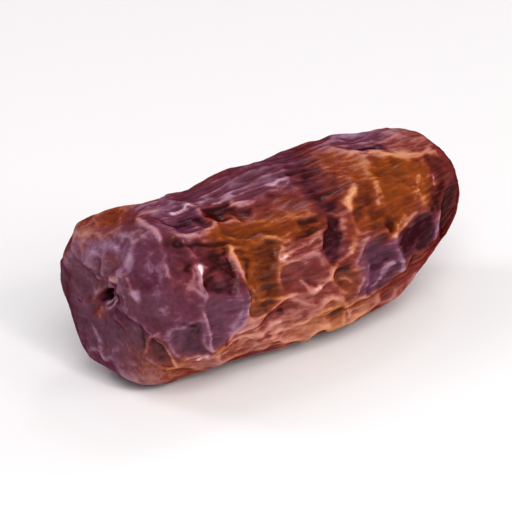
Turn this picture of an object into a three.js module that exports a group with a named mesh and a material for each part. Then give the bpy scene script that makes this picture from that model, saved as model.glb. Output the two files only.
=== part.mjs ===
import * as THREE from 'three';

// A dried piarom date lying on its side, in millimetres, with +X from the stem end to the
// tip and +Z up. The fruit grew as one piece, so it is one solid. Its skin shrank onto the
// flesh in flat facets, and the folds between them are relief, worked out by formula.

// The plump body, before it shrank
const LENGTH = 47.7;
const DIAMETER = 19.3;
const STEM_DEPTH = 6.2;        // along X, from the stem end to the full width
const STEM_FULLNESS = 3.1;     // superellipse power of the blunt stem end
const TIP_DEPTH = 20.7;        // along X, from the full width to the tip
const TIP_FULLNESS = 2.15;     // superellipse power of the long tip
const HEIGHT_SHARE = 0.93;     // the fruit is less high than it is wide
const WAIST = { x: -8, depth: 0.035, length: 5 };

// The posture
const STEM_LEAN = { degrees: 7, towards: 50, hinge: -15, from: 9, to: 21 };
const END_RISE = 1.0;          // both ends curve up by this much
const TIP_RISE = 0.9;          // and the tip by this much more
const REST_CUT = 0.40;         // how much of the lowest bulge is pressed flat where it rests

// The relief
const LEVEL_SHARE = 0.6;       // of a facet's level
const RISE_TO_FOLD = 0.30;     // from a facet's middle to its border
const RISE_LIMIT = 2.0;
const BORDER_HEIGHT = 0.08;    // of the crest where two facets meet
const SOFTNESS = 1.35;         // folds are this much wider than the sharpest ones of the skin
const SHARPNESS = 3.2 / SOFTNESS;
const FOLD_SHARE = 0.75;       // of a fold's height
const FOLD_ROUNDING = 0.35;    // of a fold's crest, in half widths
const BROAD_HEIGHT = 0.40;
const WRINKLE_HEIGHT = 0.20;   // wrinkles run from end to end
const CRUMPLE_HEIGHT = 0.15;   // crumples run in all directions
const RIDGE_WIDTH = 0.26;
const RIDGE_ROUNDING = 0.25;

// The grid: rows from the stem scar to the tip, columns round the fruit
const ROWS = 57;
const COLUMNS = 100;

// Facets of the skin: mm along it from the scar, degrees round from the top to the front, half
// length and half width in mm, level in mm above the plump body, and how wrinkled from 0 to 1
const FRONT_FACETS = [
  [7, -19, 2.6, 3, 0.1, 0.3],
  [4.6, -72, 2.4, 3, 0, 0.3],
  [4.1, -162, 2.4, 3.4, 0, 0.3],
  [4.8, -1, 2, 2, 0, 0.2],
  [7.5, 41, 2.4, 2.8, 0.12, 0.3],
  [7.7, 74, 2.4, 2.6, 0.05, 0.3],
  [5.4, 142, 2.4, 3, 0.15, 0.3],
  [8, 121, 1.8, 1.5, -0.05, 0.3],
  [11, 103, 1.4, 1.5, -0.2, 0.3],
  [8.7, -26, 2.4, 2, 0.05, 0.3],
  [10.4, -1, 2, 2, 0, 0.4],
  [14.7, 61, 2.2, 2.2, -0.2, 0.3],
  [10.4, 42, 1.6, 2.2, -0.05, 0.3],
  [13.7, 84, 2.4, 2.2, 0.2, 0.3],
  [11.4, 61, 1.2, 1.3, 0.25, 0.2],
  [15.3, 11, 3, 2.2, 0.05, 1],
  [21.5, 0, 3.2, 2.4, 0.05, 1],
  [21.7, 21, 1.8, 1.2, -0.25, 0.8],
  [26.4, 3, 3.6, 2.6, 0.1, 1],
  [34.1, 21, 3.4, 2.8, -0.1, 0.9],
  [25.9, 27, 4.2, 1.8, 0.05, 1],
  [23, 37, 4.4, 1.5, 0.2, 0.3],
  [22.3, 70, 1.9, 2.9, -0.35, 0.2],
  [28.4, 47, 2.4, 1, 0.1, 0.3],
  [26.8, 63, 2.2, 1.3, -0.1, 0.3],
  [26.8, 79, 2.4, 1.7, -0.2, 0.3],
  [32.2, 61, 1.5, 1.9, -0.3, 0.4],
  [28.2, 94, 2.4, 1.5, -0.05, 0.3],
  [34.3, 62, 1.3, 1.8, 0.1, 0.4],
  [31.9, 88, 1.5, 1.5, 0, 0.4],
  [37.4, 81, 1.9, 1.9, -0.2, 0.3],
  [37.4, 97, 1.9, 1.9, 0.05, 0.3],
  [38.2, 21, 2.6, 2.4, 0, 0.4],
  [43.1, 34, 2.8, 2.2, -0.15, 0.3],
  [37.9, 53, 2.4, 2.6, 0, 0.4],
  [41.6, 53, 2.2, 2.4, -0.1, 0.3],
  [38.2, 67, 1.3, 1.1, -0.2, 0.3],
  [42.6, 74, 2, 2.4, -0.25, 0.4],
  [46.9, 55, 2.2, 2.4, -0.1, 0.3],
  [47.2, 10, 3.2, 1.4, 0.1, 0.3],
  [43.4, -2, 3, 2, 0, 0.7],
  [18.2, 113, 2.6, 1.6, 0.2, 0.5],
  [23.9, 107, 3, 1.6, -0.05, 0.5],
  [26.8, 118, 3.4, 1.3, 0.35, 0.4],
  [30.7, 117, 2.2, 1.3, 0.25, 0.4],
  [35.3, 118, 2.2, 1.5, 0.15, 0.4],
  [8.2, 142, 2.8, 2, 0.15, 0.3],
  [12.9, 128, 2.4, 1.6, 0.2, 0.3],
  [50.3, 80, 2.2, 2.6, 0, 0.4],
  [40.6, 112, 2.2, 1.6, 0.1, 0.4],
  [6.5, -115, 3, 3.4, 0, 0.4],
  [55.5, 40, 3, 3.5, 0, 0.4],
  [54.5, -70, 3, 3.5, 0, 0.4],
  [55, 165, 3, 3.5, 0, 0.4],
];

// Facets of the back lie in rings, each ring's mm along and its number of facets
const BACK_RINGS = [[10.5, 3], [17, 5], [24, 6], [31.5, 6], [38.5, 5], [45, 5], [51.5, 3]];
const BACK_START = -18;
const BACK_SPAN = 197;

// Folds and creases: corners of the path as mm along and degrees, then the height in mm,
// which is negative for a crease, and the half width in mm
const FOLDS = [
  [[[11.4, -2], [10.6, 10], [10.4, 20], [10, 30]], 0.5, 0.45],
  [[[11, 24], [12.1, 29], [14.3, 33], [16.1, 32], [18.9, 26], [21.2, 28], [23.4, 30]], 0.5, 0.45],
  [[[22.6, 31], [25.9, 37], [28.9, 41], [31.2, 44], [34.1, 41]], 0.35, 0.6],
  [[[17.2, 35], [20.6, 41], [23.7, 47], [26.1, 47], [29.3, 49], [31.9, 49]], 0.35, 0.6],
  [[[10.6, 32], [13.1, 38], [16.1, 41], [19.5, 45]], -0.45, 0.4],
  [[[27.5, 42], [30, 44], [31.9, 43], [34.1, 41]], -0.55, 0.4],
  [[[24.5, 55], [26.6, 53], [29.1, 53], [30.3, 53]], -0.4, 0.35],
  [[[18.4, 45], [18.9, 54], [18.4, 63], [18.9, 72], [19.9, 83]], 0.45, 0.45],
  [[[17.6, 52], [17.6, 59], [17.4, 65]], -0.35, 0.35],
  [[[20.8, 53], [19.3, 63], [19.1, 76], [20.2, 86]], -0.25, 0.35],
  [[[19.7, 83], [21.5, 84], [23.9, 90], [26.4, 89]], 0.3, 0.35],
  [[[24.3, 63], [23.9, 73], [23.7, 84]], 0.2, 0.4],
  [[[26.6, 89], [28.4, 91], [29.8, 86], [30.7, 78], [32.4, 74], [33.6, 70], [34.3, 64]], 0.5, 0.5],
  [[[24.5, 62], [25.9, 60], [28.4, 59], [30.5, 54]], 0.35, 0.35],
  [[[25.2, 69], [27.3, 67], [29.1, 65]], 0.2, 0.3],
  [[[29.1, 69], [30.5, 63], [31, 57], [32.4, 52], [33.3, 48]], -0.45, 0.45],
  [[[9.7, 67], [10.4, 80], [11.4, 91], [13.1, 100], [12.7, 113]], 0.45, 0.42],
  [[[9.1, 88], [10, 93], [11, 94]], -0.3, 0.3],
  [[[7, 132], [6.3, 122], [6.6, 110], [7.8, 95]], 0.35, 0.32],
  [[[6.8, 109], [8.2, 111], [9.3, 118], [10.8, 133]], 0.35, 0.32],
  [[[4.9, 36], [4.8, 52], [4.9, 70]], 0.3, 0.35],
  [[[4.9, 95], [5.6, 121], [6.6, 131]], -0.3, 0.4],
  [[[4, -133], [4.8, -160], [7, -176], [8, 170]], 0.25, 0.4],
  [[[42.1, 61], [40.6, 66], [39.4, 76]], 0.35, 0.38],
  [[[46.7, 40], [45.4, 49], [43.1, 58]], 0.3, 0.4],
  [[[40.1, 35], [39.4, 45], [38.7, 54]], 0.25, 0.4],
  [[[37.2, 32], [36, 39], [34.3, 46]], 0.35, 0.5],
  [[[38.7, 3], [42.4, 10], [44.9, 17], [47.9, 23], [47.9, 38], [47.2, 52]], 0.4, 0.6],
  [[[41.6, -4], [43.4, 6], [44.9, 8]], -0.35, 0.45],
  [[[33.6, 105], [33.8, 96], [34.5, 91]], 0.3, 0.35],
  [[[39.4, 92], [37.9, 96], [37.2, 103]], 0.25, 0.45],
  [[[42.4, 72], [41.4, 80], [40.9, 91]], -0.3, 0.45],
  [[[21.7, 115], [25.7, 118], [27.5, 113], [29.6, 111], [33.3, 108]], 0.4, 0.45],
  [[[14.9, 111], [17.4, 110], [21.5, 113], [23.2, 110]], 0.35, 0.45],
  [[[20.8, 100], [23.9, 103], [26.4, 102]], -0.3, 0.35],
  [[[29.1, 119], [31.4, 118], [33.8, 113]], -0.25, 0.35],
  [[[12.1, 3], [12.5, 17], [15.1, 20], [18.7, 19]], -0.35, 0.45],
  [[[19.3, 15], [21.5, 14], [23.2, 15]], -0.35, 0.4],
  [[[25.4, -3], [26.4, 9], [27.5, 19]], -0.2, 0.35],
  [[[22, -26], [28, -22], [34, -20], [41, -26], [48, -22]], 0.4, 0.6],
  [[[13, -52], [20, -46], [28, -53], [35, -48]], 0.5, 0.55],
  [[[12, -76], [19, -83], [27, -76], [35, -82], [43, -75]], 0.6, 0.6],
  [[[31, -60], [38, -63], [46, -56], [51, -60]], 0.5, 0.55],
  [[[16, -110], [24, -103], [32, -109], [40, -102], [48, -110]], 0.55, 0.6],
  [[[11, -128], [19, -133], [27, -126]], 0.4, 0.5],
  [[[35, -130], [42, -126], [49, -134]], 0.4, 0.5],
  [[[43, 118], [46.5, 116], [50, 108]], -0.6, 1.2],
  [[[15, -34], [23, -38], [32, -34]], -0.45, 1.1],
  [[[19, -94], [27, -90], [36, -94]], -0.4, 1.1],
  [[[34, -72], [40, -69], [46, -73]], -0.4, 1],
];
const FOLD_END_SHARE = 0.15;   // a fold fades in and out over this share of its path
const FOLD_END_HEIGHT = 0.2;   // to this share of its height

// Swellings of the plump body: mm along, degrees, half length, half width and height in mm
const SWELLINGS = [
  [7.3, -43, 3, 3.4, 1.4],
  [11, -18, 2.6, 2.6, -0.7],
  [7.9, -105, 4, 5.5, 0.35],
  [8.7, -160, 3.4, 5, 0.1],
  [9.3, 168, 3.4, 3.8, 0.6],
  [12, 138, 2.6, 2.8, -0.8],
  [18.5, 137, 2.2, 2.6, -0.4],
  [26, -25, 4.2, 4.5, 1.25],
  [27.5, 137, 8, 3, 0.65],
  [40.8, 128, 2, 2.4, 0.4],
  [40.5, -22, 3.5, 4, 0.4],
  [51.6, -20, 3.6, 4.5, 0.5],
  [22.5, 137, 2.5, 2.6, 0.3],
  [50.2, 124, 3.2, 4, -0.9],
  [52.6, 38, 2.8, 3, 0.5],
  [55.5, 70, 3, 5, -0.4],
  [15.1, 61, 1, 0.9, 0.45],
];
const DEPTH = 4;               // mm across the skin over which a facet or swelling is felt
const SCAR = [1.1, -55];       // mm along and degrees, where the stem was attached

const radians = THREE.MathUtils.degToRad;
const clamp = THREE.MathUtils.clamp;
const step = (value, low, high) => {
  const t = clamp((value - low) / (high - low), 0, 1);
  return t * t * (3 - 2 * t);
};
const bell = (distance, width) => Math.exp(-((distance / width) ** 2));

// A number from 0 to 1 that always comes out the same for the same key
function draw(key) {
  const value = Math.sin(key) * 43758.5453;
  return value - Math.floor(value);
}

// Smooth uneven values of about -0.5 to 0.5: each corner of a cubic lattice has a slope of
// its own, and the slopes are blended between the corners
function unevenness(point, lengthX, lengthYZ, seed) {
  const p = [point.x / lengthX, point.y / lengthYZ, point.z / lengthYZ];
  return latticeNoise(p, seed);
}

function latticeNoise(p, seed) {
  const cell = p.map(Math.floor);
  const f = p.map((v, axis) => v - cell[axis]);
  const fade = f.map((v) => v * v * v * (v * (v * 6 - 15) + 10));
  let total = 0;
  for (let corner = 0; corner < 8; corner += 1) {
    const offset = [corner & 1, (corner >> 1) & 1, (corner >> 2) & 1];
    const key = (cell[0] + offset[0]) * 127.1 + (cell[1] + offset[1]) * 311.7
      + (cell[2] + offset[2]) * 74.7 + seed * 53.3;
    let weight = 1;
    let slope = 0;
    for (let axis = 0; axis < 3; axis += 1) {
      weight *= offset[axis] ? fade[axis] : 1 - fade[axis];
      slope += (2 * draw(key + axis * 19.19) - 1) * (f[axis] - offset[axis]);
    }
    total += weight * slope;
  }
  return total;
}

// Outline from the stem end to the tip in fine steps, as length gone by, x and radius: a
// blunt quarter superellipse, a straight side and a long quarter superellipse
function fineOutline() {
  const half = LENGTH / 2;
  const radius = DIAMETER / 2;
  const fine = 1000;
  const points = [];
  const quarter = (i, power) => {
    const angle = (i / fine) * Math.PI / 2;
    return [Math.sin(angle) ** (2 / power), Math.max(Math.cos(angle), 0) ** (2 / power)];
  };
  for (let i = 0; i <= fine; i += 1) {
    const [rise, run] = quarter(i, STEM_FULLNESS);
    points.push(new THREE.Vector2(-half + STEM_DEPTH * (1 - run), radius * rise));
  }
  for (let i = 0; i <= fine; i += 1) {
    const [reach, fall] = quarter(i, TIP_FULLNESS);
    points.push(new THREE.Vector2(half - TIP_DEPTH * (1 - reach), radius * fall));
  }
  let gone = 0;
  return points.map((p, i) => {
    gone += i ? p.distanceTo(points[i - 1]) : 0;
    return { gone, x: p.x, r: p.y };
  });
}

const OUTLINE = fineOutline();
const OUTLINE_LENGTH = OUTLINE[OUTLINE.length - 1].gone;

// The outline's x and radius so many mm along it
function onOutline(along) {
  let [first, last] = [0, OUTLINE.length - 1];
  while (last - first > 1) {
    const middle = Math.floor((first + last) / 2);
    if (OUTLINE[middle].gone <= along) first = middle;
    else last = middle;
  }
  const [a, b] = [OUTLINE[first], OUTLINE[last]];
  const t = clamp((along - a.gone) / (b.gone - a.gone), 0, 1);
  return { x: a.x + t * (b.x - a.x), r: a.r + t * (b.r - a.r) };
}

// Even steps along the outline
function outline(count) {
  const stations = Array.from({ length: count + 1 }, (_, row) => {
    const fromStem = (row / count) * OUTLINE_LENGTH;
    return { ...onOutline(fromStem), fromStem, fromTip: OUTLINE_LENGTH - fromStem };
  });
  stations.forEach((station, i) => {
    const a = stations[Math.max(i - 1, 0)];
    const b = stations[Math.min(i + 1, count)];
    station.slope = Math.atan2(b.r - a.r, b.x - a.x);
  });
  return stations;
}

const bodyPoint = ({ x, r }, angle) => new THREE.Vector3(x, -r * Math.sin(angle), r * Math.cos(angle));
const onBody = (along, turn) => bodyPoint(onOutline(along), radians(turn));

// A place on the plump body with its three directions: along the fruit, round it and across
// the skin, each divided by the half length, the half width and the depth
function patch(along, turn, halfLength, halfWidth) {
  const middle = onBody(along, turn);
  const forward = onBody(along + 0.4, turn).sub(onBody(Math.max(along - 0.4, 0), turn)).normalize();
  const around = new THREE.Vector3(0, -Math.cos(radians(turn)), -Math.sin(radians(turn)));
  const across = forward.clone().cross(around).divideScalar(DEPTH);
  return { middle, axes: [forward.divideScalar(halfLength), around.divideScalar(halfWidth), across] };
}

// Squared distance of a point from a patch, in its half lengths, half widths and depths
const apart = (point, { middle, axes }) => {
  const gap = point.clone().sub(middle);
  return axes.reduce((sum, axis) => sum + gap.dot(axis) ** 2, 0);
};

// The back's facets follow a rule: even places in each ring, each moved and sized by a draw
function backFacets() {
  const facets = [];
  BACK_RINGS.forEach(([ringAlong, count], ring) => {
    for (let j = 0; j < count; j += 1) {
      const n = facets.length + 1;
      const pick = (k) => draw(n * 127.1 + k * 311.7);
      const turn = BACK_START - (j + 0.5 + 0.3 * (ring % 2)) * BACK_SPAN / count + 14 * (pick(1) - 0.5);
      facets.push([ringAlong + 3.4 * (pick(2) - 0.5), turn, 3.0 + 1.9 * pick(3), 2.2 + 1.2 * pick(4),
        -0.45 + 0.65 * pick(5), pick(6)]);
    }
  });
  return facets;
}

const FACETS = [...FRONT_FACETS, ...backFacets()].map(([along, turn, long, wide, level, wrinkled]) => (
  { place: patch(along, turn, long, wide), level, wrinkled }));

// Height that the facets give. A point belongs to each facet by a share that falls with its
// distance, and a crest stands where the shares of two facets are alike.
function facetRelief(point, moved) {
  let total = 0;
  let squares = 0;
  let level = 0;
  let wrinkled = 0;
  for (const facet of FACETS) {
    const weight = Math.exp(-SHARPNESS * apart(moved, facet.place)) + 1e-30;
    total += weight;
    squares += weight * weight;
    level += weight * facet.level;
    wrinkled += weight * facet.wrinkled;
  }
  const border = 2 * (1 - squares / (total * total));
  const strength = clamp(0.45 + 1.7 * unevenness(point, 4, 4, 7), 0, 1.3);
  const rise = clamp(-Math.log(total) / SHARPNESS, 0, RISE_LIMIT);
  const height = LEVEL_SHARE * level / total + RISE_TO_FOLD * rise + BORDER_HEIGHT * border * strength;
  return { height, wrinkled: wrinkled / total };
}

// Each fold's path runs over the plump body in short straight steps, three to a corner
const PATHS = FOLDS.map(([path, lift, width]) => {
  const points = [];
  for (let k = 0; k <= 3 * (path.length - 1); k += 1) {
    const i = Math.min(Math.floor(k / 3), path.length - 2);
    const t = k / 3 - i;
    const [[along0, turn0], [along1, turn1]] = [path[i], path[i + 1]];
    points.push(onBody(along0 + t * (along1 - along0), turn0 + t * (turn1 - turn0)));
  }
  return { points, lift, width };
});

// Height of the long folds and creases: along each path a ridge that falls off ever less
// steeply, its crest a little rounded
function foldRelief(moved) {
  let height = 0;
  for (const { points, lift, width } of PATHS) {
    let nearest = Infinity;
    let share = 0;
    for (let i = 1; i < points.length; i += 1) {
      const run = points[i].clone().sub(points[i - 1]);
      const gap = moved.clone().sub(points[i - 1]);
      const t = clamp(gap.dot(run) / run.lengthSq(), 0, 1);
      const distance = gap.addScaledVector(run, -t).length();
      if (distance < nearest) {
        nearest = distance;
        share = (i - 1 + t) / (points.length - 1);
      }
    }
    const middle = step(share, 0, FOLD_END_SHARE) * (1 - step(share, 1 - FOLD_END_SHARE, 1));
    const across = Math.exp(FOLD_ROUNDING - Math.hypot(nearest / (width * SOFTNESS), FOLD_ROUNDING));
    height += FOLD_SHARE * lift * (FOLD_END_HEIGHT + (1 - FOLD_END_HEIGHT) * middle) * across;
  }
  return height;
}

// Ridges of height 0 to 1, in cells of the given lengths: sharp where an uneven field that
// the wander has bent passes through zero, and gone further away
function ridges(point, lengthX, lengthYZ, seed, wander) {
  const p = [point.x / lengthX + wander, point.y / lengthYZ + wander, point.z / lengthYZ + wander];
  const away = Math.hypot(latticeNoise(p, seed) / RIDGE_WIDTH, RIDGE_ROUNDING);
  return clamp(1 + RIDGE_ROUNDING / 3 - away, 0, 1) ** 1.5;
}

// Height of the wrinkles, which are drawn out from end to end on the unrolled skin and give
// way at the thin ends, and of the crumples
function wrinkleRelief(point, unrolled, wrinkled, drawnOut) {
  const wander = unevenness(unrolled, 8, 4, 4);
  const crumpled = clamp(0.7 + 1.6 * unevenness(point, 6, 6, 17), 0, 1.2) * (1 - 0.5 * drawnOut);
  const wrinkles = clamp(0.3 + 0.8 * wrinkled, 0, 1) * ridges(unrolled, 11, 1.8, 6, 0.6 * wander);
  const crumples = crumpled * ridges(point, 4.4, 3.2, 18, 0.5 * wander);
  return WRINKLE_HEIGHT * drawnOut * wrinkles + CRUMPLE_HEIGHT * crumples;
}

const SWOLLEN = SWELLINGS.map(([along, turn, long, wide, lift]) => (
  { place: patch(along, turn, long, wide), lift }));

// Height of the swellings: a bell all ways round each
function swellingRelief(point) {
  return SWOLLEN.reduce((height, { place, lift }) => height + lift * Math.exp(-apart(point, place)), 0);
}

const SCAR_PLACE = onBody(...SCAR);

// The stem end sinks round its scar, with a raised rim, a hole and puckers that run out of it
function stemRelief(point) {
  const away = point.clone().sub(SCAR_PLACE);
  const fromScar = away.length();
  const angle = Math.atan2(-away.y, away.z);
  const frontness = step(Math.cos(angle - radians(60)), -0.4, 0.6);
  const pucker = (0.08 + 0.12 * frontness) * Math.cos(11 * angle + 3 * unevenness(point, 2.5, 2.5, 11))
    * step(fromScar, 1.2, 2.6) * (1 - step(fromScar, 3.0, 6.5));
  const sink = -0.8 * bell(fromScar, 2.6);
  const ragged = unevenness(point, 1.1, 1.1, 14);
  const rim = 0.30 * bell(fromScar - 1.7 - 0.35 * Math.cos(3 * angle + 1), 0.45) * (0.5 + 1.6 * ragged);
  const bore = fromScar * (1 + 0.3 * Math.cos(2 * angle + 0.6) + 0.9 * ragged);
  const hole = -1.2 * (1 - step(bore, 0.3, 1.1));
  return pucker + sink + rim + hole;
}

// The tip is drawn in round a small point
function tipRelief(point, angle, fromTip) {
  const pucker = 0.14 * Math.cos(9 * angle + 3 * unevenness(point, 2, 2, 15))
    * step(fromTip, 0.7, 2.0) * (1 - step(fromTip, 3.0, 7.0));
  return pucker - 0.45 * bell(fromTip, 2.2) + 0.75 * bell(fromTip, 0.75);
}

const bodyNormal = ({ slope }, angle) => new THREE.Vector3(-Math.sin(slope),
  -Math.cos(slope) * Math.sin(angle), Math.cos(slope) * Math.cos(angle));

// Height of facets, folds and wrinkles together. It fades out at the scar and the tip, and
// underneath, where the fruit lay while it dried.
function skinRelief(station, angle) {
  const { x, fromStem, fromTip } = station;
  const point = bodyPoint(station, angle);
  const normal = bodyNormal(station, angle);
  const unrolled = bodyPoint({ x: fromStem, r: DIAMETER / 2 }, angle);
  const drawnOut = step(fromStem, 9, 15) * step(fromTip, 3, 11);
  const wander = (length, seed) => new THREE.Vector3(unevenness(point, length, length, seed),
    unevenness(point, length, length, seed + 1), unevenness(point, length, length, seed + 2));
  const slow = wander(4.6, 20);
  const quick = wander(1.7, 30);
  const shifted = (a, b) => {
    const move = slow.clone().multiplyScalar(a).addScaledVector(quick, b);
    return point.clone().add(move).addScaledVector(normal, -move.dot(normal));
  };
  const facets = facetRelief(point, shifted(2.6, 1.0));
  const uneven = facets.height + foldRelief(shifted(1.2, 0.35))
    + BROAD_HEIGHT * unevenness(point, 10, 6.5, 3)
    + wrinkleRelief(point, unrolled, facets.wrinkled, drawnOut) + swellingRelief(point);
  const underside = step(-Math.cos(angle), 0.71, 0.97) * step(12 - Math.abs(x + 1), -6, 4);
  return uneven * (1 - 0.88 * underside) * step(point.distanceTo(SCAR_PLACE), 0.8, 4)
    * step(fromTip, 0, 2.5);
}

// Each height is evened out with its neighbours', with weights of 1, 3 and 1 both ways,
// because the rows lie further apart than the narrowest folds are wide
function evened(heights) {
  const near = [-1, 0, 1];
  return heights.map((ring, row) => ring.map((_, column) => {
    let sum = 0;
    for (const down of near) {
      const other = heights[clamp(row + down, 0, ROWS)];
      for (const along of near) {
        const weight = (down ? 1 : 3) * (along ? 1 : 3) / 25;
        sum += weight * other[(column + along + COLUMNS) % COLUMNS];
      }
    }
    return sum;
  }));
}

// A point of the skin on the straight body, lifted along the body's normal
function skinPoint(station, angle, relief) {
  const point = bodyPoint(station, angle);
  const height = relief + stemRelief(point) + tipRelief(point, angle, station.fromTip);
  return point.addScaledVector(bodyNormal(station, angle), height);
}

// The posture: a slight waist, flatter than wide, the stem end leaning to the front, both
// ends curving up
function posed(point) {
  const waist = 1 - WAIST.depth * bell(point.x - WAIST.x, WAIST.length);
  let { x } = point;
  let y = point.y * waist;
  let z = point.z * waist * HEIGHT_SHARE;
  const lean = radians(STEM_LEAN.degrees) * step(-x, STEM_LEAN.from, STEM_LEAN.to);
  const towards = radians(STEM_LEAN.towards);
  const side = -y * Math.sin(towards) + z * Math.cos(towards);
  const arm = x - STEM_LEAN.hinge;
  const move = side * (Math.cos(lean) - 1) - arm * Math.sin(lean);
  x = STEM_LEAN.hinge + arm * Math.cos(lean) + side * Math.sin(lean);
  y -= move * Math.sin(towards);
  z += move * Math.cos(towards);
  z += END_RISE * (x / (LENGTH / 2)) ** 2 + TIP_RISE * step(x, 8, 24);
  return new THREE.Vector3(x, y, z);
}

// The rings of the grid close in one point at the stem scar and one at the tip
function skinGrid() {
  const stations = outline(ROWS);
  const angles = Array.from({ length: COLUMNS }, (_, j) => (j / COLUMNS) * 2 * Math.PI);
  const relief = evened(stations.map((station) => angles.map((angle) => skinRelief(station, angle))));
  const rings = stations.map((station, row) => angles.map(
    (angle, column) => posed(skinPoint(station, angle, relief[row][column])),
  ));
  const centre = (ring) => ring.reduce((sum, p) => sum.add(p), new THREE.Vector3())
    .divideScalar(COLUMNS);
  return [centre(rings[0]), ...rings.slice(1, -1).flat(), centre(rings[ROWS])];
}

// The fruit is centred over the origin and rests on a small flat spot at z = 0
function settle(points) {
  const box = new THREE.Box3().setFromPoints(points);
  const middle = box.getCenter(new THREE.Vector3());
  const bottom = box.min.z + REST_CUT;
  return points.map((p) => new THREE.Vector3(p.x - middle.x, p.y - middle.y, Math.max(p.z - bottom, 0)));
}

function dateGeometry() {
  const points = settle(skinGrid());
  const last = points.length - 1;
  const ringCount = ROWS - 1;
  const at = (ring, column) => 1 + ring * COLUMNS + (column % COLUMNS);
  const faces = [];
  for (let column = 0; column < COLUMNS; column += 1) {
    faces.push(0, at(0, column + 1), at(0, column));
    for (let ring = 0; ring < ringCount - 1; ring += 1) {
      const [a, b] = [at(ring, column), at(ring, column + 1)];
      const [c, d] = [at(ring + 1, column), at(ring + 1, column + 1)];
      faces.push(a, b, d, a, d, c);
    }
    faces.push(last, at(ringCount - 1, column), at(ringCount - 1, column + 1));
  }
  const geometry = new THREE.BufferGeometry();
  geometry.setAttribute('position', new THREE.Float32BufferAttribute(points.flatMap((p) => p.toArray()), 3));
  geometry.setIndex(faces);
  geometry.computeVertexNormals();
  return geometry;
}

const skin = new THREE.MeshStandardMaterial({ color: 0x6a3430, roughness: 0.36, metalness: 0 });
const date = new THREE.Mesh(dateGeometry(), skin);
date.name = 'date';

const fruit = new THREE.Group();
fruit.add(date);

export default fruit;
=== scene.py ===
import math

import bpy
import numpy as np
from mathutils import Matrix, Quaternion, Vector


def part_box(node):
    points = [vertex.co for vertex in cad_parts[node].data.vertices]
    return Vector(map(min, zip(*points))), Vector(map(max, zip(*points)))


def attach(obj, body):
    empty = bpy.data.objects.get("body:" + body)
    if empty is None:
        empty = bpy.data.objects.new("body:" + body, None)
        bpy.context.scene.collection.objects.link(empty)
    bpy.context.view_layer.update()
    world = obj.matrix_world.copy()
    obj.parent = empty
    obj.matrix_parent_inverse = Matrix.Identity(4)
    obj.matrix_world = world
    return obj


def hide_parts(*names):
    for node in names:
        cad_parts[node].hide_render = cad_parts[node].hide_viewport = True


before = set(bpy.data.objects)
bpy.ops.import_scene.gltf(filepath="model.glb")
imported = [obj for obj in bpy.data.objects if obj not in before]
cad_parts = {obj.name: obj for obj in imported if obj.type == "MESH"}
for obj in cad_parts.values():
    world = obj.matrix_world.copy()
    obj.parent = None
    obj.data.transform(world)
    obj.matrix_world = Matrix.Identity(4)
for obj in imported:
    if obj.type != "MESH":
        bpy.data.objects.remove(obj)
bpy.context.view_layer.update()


# Skin and flesh
# A dried date is one grown body. Its skin shrank onto the flesh in flat facets, with folds
# and wrinkles between them, a blunt stem end with a scar and a long tip. It replaces the
# plain solid, keeps its size, its posture and its folds, and adds the finer relief.

MM = 0.001
low, high = (np.array(corner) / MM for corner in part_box("date"))
RELIEF_ADDS = 1.17                           # mm, to the plump body's length and to its width
LENGTH = high[0] - low[0] - RELIEF_ADDS
RADIUS = (high[1] - low[1] - RELIEF_ADDS) / 2
STEM_DEPTH, STEM_FULLNESS = 6.2, 3.1         # mm of the length, and the superellipse's power
TIP_DEPTH, TIP_FULLNESS = 20.7, 2.15
WAIST, WAIST_X, WAIST_SPREAD = 0.035, -8, 5  # share of the girth, mm, mm
HEIGHT_SHARE = 0.93                          # of the width, because a soft fruit on its side sags
LEAN, LEAN_SIDE = 7, 50                      # degrees, and the side it leans to, from the top
HINGE_X, LEAN_SPAN = -15, (9, 21)            # mm, and how far towards the stem the lean sets in
CURVE_X = 24                                 # mm from the middle where an end is 1 mm up
TIP_LIFT, TIP_LIFT_SPAN = 0.9, (8, 24)       # mm that the tip is up besides, and where it sets in
REST_CUT = 0.40                              # mm pressed flat underneath
ROWS, COLUMNS = 276, 360
ROW_CROWDING = 1.25                          # above 1, rows crowd towards the scar

# Heights of the relief in mm: a facet of level 1, a place at its facet's rim, a crest between
# facets, the broad lumps, a fold of strength 1 and the grain
LEVEL_HEIGHT, RISE_HEIGHT, CREST_HEIGHT = 0.6, 0.30, 0.08
LUMP_HEIGHT, FOLD_HEIGHT, GRAIN_HEIGHT = 0.40, 0.55, 0.02
FACET_SHARPNESS, COLOUR_SHARPNESS = 3.2, 0.75
SKIN_REACH = 4                               # mm off the skin that count as a half width
PRESSED_OUT = 0.88                           # share of the relief that is gone underneath

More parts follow.
